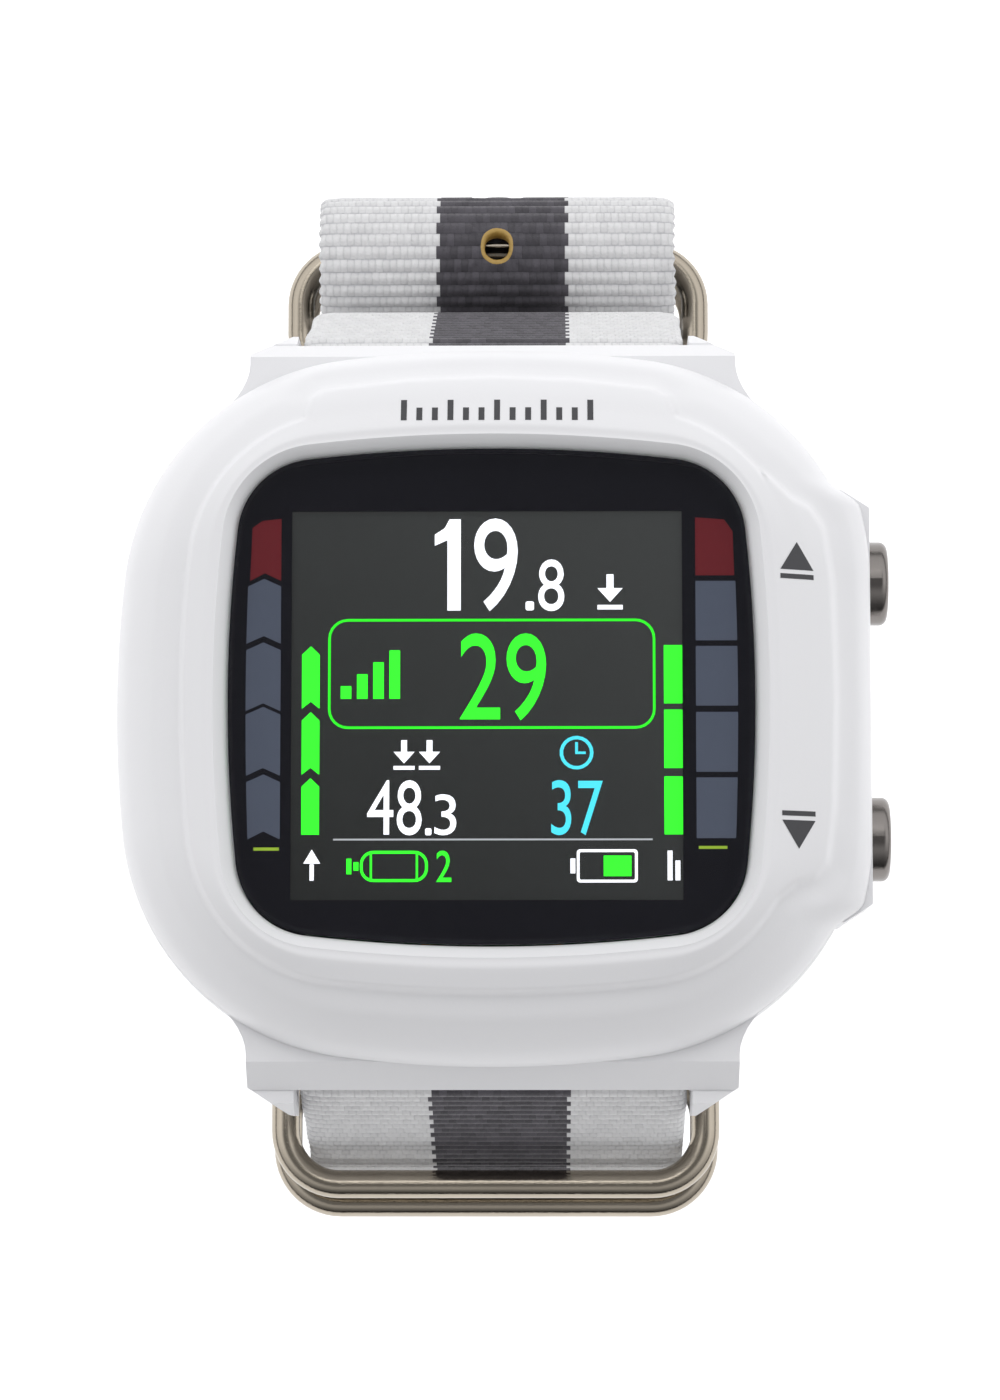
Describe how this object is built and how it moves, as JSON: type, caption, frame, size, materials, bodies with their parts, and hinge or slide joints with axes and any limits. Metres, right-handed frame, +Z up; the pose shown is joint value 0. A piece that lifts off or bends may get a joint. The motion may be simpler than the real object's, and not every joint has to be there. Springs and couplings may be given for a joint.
{
  "type": "dive computer",
  "caption": "Square wrist dive computer in a glossy white case with push buttons on one side, on a two-tone webbing strap closed into a loop with metal rings and a buckle.",
  "frame": {"origin": "centre of the flat bottom of the closed strap loop, on the floor, below the middle of the case", "axes": "+Z up, out of the screen; +Y towards the 12 o'clock side of the strap; +X towards the push buttons"},
  "size_m": [0.0559, 0.0805, 0.0683],
  "materials": {
    "white_shell": "smooth satin gloss",
    "clear_glass": "polished, dark behind",
    "black_ink": "printed black border under the glass",
    "display": "dark lit screen",
    "black_rubber": "moulded",
    "dark_plastic": "moulded",
    "board_green": "solder mask",
    "chip_black": "moulded",
    "amber_film": "flexible circuit",
    "cell_foil": "foil pouch",
    "grey_foam": "foam",
    "brass": "plain",
    "gold_pin": "plated",
    "steel": "machined",
    "polished_steel": "mirror polished",
    "spring_steel": "drawn wire",
    "grey_back": "fine matt",
    "webbing": "white nylon with a dark grey centre stripe"
  },
  "bodies": {
    "computer": {"front_bezel": "white_shell", "mid_case": "white_shell", "case_back": "grey_back", "back_screws": "steel", "back_gasket": "black_rubber", "lens": "clear_glass", "display_mask": "black_ink", "lens_gasket": "black_rubber", "display_panel": "display", "display_carrier": "dark_plastic", "carrier_screws": "steel", "main_board": "board_green", "board_chips": "chip_black", "display_flex": "amber_film", "battery": "cell_foil", "battery_pad": "grey_foam", "piezo_buzzer": "brass", "pressure_sensor": "steel", "sensor_oring": "black_rubber", "sensor_grille": "steel", "charging_block": "dark_plastic", "charging_contacts": "gold_pin", "button_sleeves": "brass", "switch_bodies": "dark_plastic", "main_strap": "webbing", "short_strap": "webbing", "upper_button_spring": "spring_steel", "lower_button_spring": "spring_steel"},
    "upper_button": {"upper_button": "polished_steel", "upper_button_oring": "black_rubber", "upper_button_clip": "spring_steel"},
    "upper_plunger": {"upper_switch_plunger": "dark_plastic"},
    "lower_button": {"lower_button": "polished_steel", "lower_button_oring": "black_rubber", "lower_button_clip": "spring_steel"},
    "lower_plunger": {"lower_switch_plunger": "dark_plastic"},
    "top_bar": {"top_bar_tube": "steel", "top_bar_spring_left": "spring_steel", "top_bar_spring_right": "spring_steel"},
    "top_tip_left": {"top_bar_tip_left": "steel"},
    "top_tip_right": {"top_bar_tip_right": "steel"},
    "bottom_bar": {"bottom_bar_tube": "steel", "bottom_bar_spring_left": "spring_steel", "bottom_bar_spring_right": "spring_steel"},
    "bottom_tip_left": {"bottom_bar_tip_left": "steel"},
    "bottom_tip_right": {"bottom_bar_tip_right": "steel"},
    "sewn_ring": {"sewn_ring": "polished_steel"},
    "stack_ring": {"stack_ring": "polished_steel"},
    "upper_keeper_ring": {"upper_keeper_ring": "polished_steel"},
    "lower_keeper_ring": {"lower_keeper_ring": "polished_steel"},
    "buckle_frame": {"buckle_frame": "polished_steel"},
    "buckle_tongue": {"buckle_tongue": "polished_steel"}
  },
  "joints": [
    {"name": "upper_button_slide", "type": "slide", "parent": "computer", "child": "upper_button", "axis": [-1, 0, 0], "range_m": [0, 0.0006], "stiffness_N_per_m": 1500, "springref_m": -0.001, "deforming": ["upper_button_spring"]},
    {"name": "upper_plunger_slide", "type": "slide", "parent": "computer", "child": "upper_plunger", "axis": [-1, 0, 0], "range_m": [0, 0.0006]},
    {"name": "lower_button_slide", "type": "slide", "parent": "computer", "child": "lower_button", "axis": [-1, 0, 0], "range_m": [0, 0.0006], "stiffness_N_per_m": 1500, "springref_m": -0.001, "deforming": ["lower_button_spring"]},
    {"name": "lower_plunger_slide", "type": "slide", "parent": "computer", "child": "lower_plunger", "axis": [-1, 0, 0], "range_m": [0, 0.0006]},
    {"name": "top_bar_turn", "type": "hinge", "parent": "computer", "child": "top_bar", "pos_m": [0, 0.0256, 0.0546], "axis": [1, 0, 0], "continuous": true},
    {"name": "top_tip_left_slide", "type": "slide", "parent": "top_bar", "child": "top_tip_left", "axis": [1, 0, 0], "range_m": [0, 0.0013], "stiffness_N_per_m": 500, "springref_m": -0.002, "deforming": ["top_bar_spring_left"]},
    {"name": "top_tip_right_slide", "type": "slide", "parent": "top_bar", "child": "top_tip_right", "axis": [-1, 0, 0], "range_m": [0, 0.0013], "stiffness_N_per_m": 500, "springref_m": -0.002, "deforming": ["top_bar_spring_right"]},
    {"name": "bottom_bar_turn", "type": "hinge", "parent": "computer", "child": "bottom_bar", "pos_m": [0, -0.0256, 0.0546], "axis": [1, 0, 0], "continuous": true},
    {"name": "bottom_tip_left_slide", "type": "slide", "parent": "bottom_bar", "child": "bottom_tip_left", "axis": [1, 0, 0], "range_m": [0, 0.0013], "stiffness_N_per_m": 500, "springref_m": -0.002, "deforming": ["bottom_bar_spring_left"]},
    {"name": "bottom_tip_right_slide", "type": "slide", "parent": "bottom_bar", "child": "bottom_tip_right", "axis": [-1, 0, 0], "range_m": [0, 0.0013], "stiffness_N_per_m": 500, "springref_m": -0.002, "deforming": ["bottom_bar_spring_right"]},
    {"name": "sewn_ring_swing", "type": "hinge", "parent": "computer", "child": "sewn_ring", "pos_m": [0, -0.02385, 0.0445], "axis": [-1, 0, 0], "range_deg": [0, 15]},
    {"name": "stack_ring_slide", "type": "slide", "parent": "computer", "child": "stack_ring", "axis": [0, 0, -1], "range_m": [0, 0.006]},
    {"name": "upper_keeper_slide", "type": "slide", "parent": "computer", "child": "upper_keeper_ring", "axis": [0, 0, 1], "range_m": [-0.0008, 0.0015]},
    {"name": "lower_keeper_slide", "type": "slide", "parent": "computer", "child": "lower_keeper_ring", "axis": [0, 0, 1], "range_m": [-0.0006, 0.0005]},
    {"name": "buckle_swing", "type": "hinge", "parent": "computer", "child": "buckle_frame", "pos_m": [0, 0.03065, 0.0146], "axis": [1, 0, 0], "range_deg": [-2, 2]},
    {"name": "tongue_swing", "type": "hinge", "parent": "buckle_frame", "child": "buckle_tongue", "pos_m": [0, 0.03065, 0.0146], "axis": [1, 0, 0], "range_deg": [0, 5]}
  ],
  "couplings": [
    {"joint": "upper_plunger_slide", "follows": "upper_button_slide", "ratio": 1},
    {"joint": "lower_plunger_slide", "follows": "lower_button_slide", "ratio": 1}
  ]
}
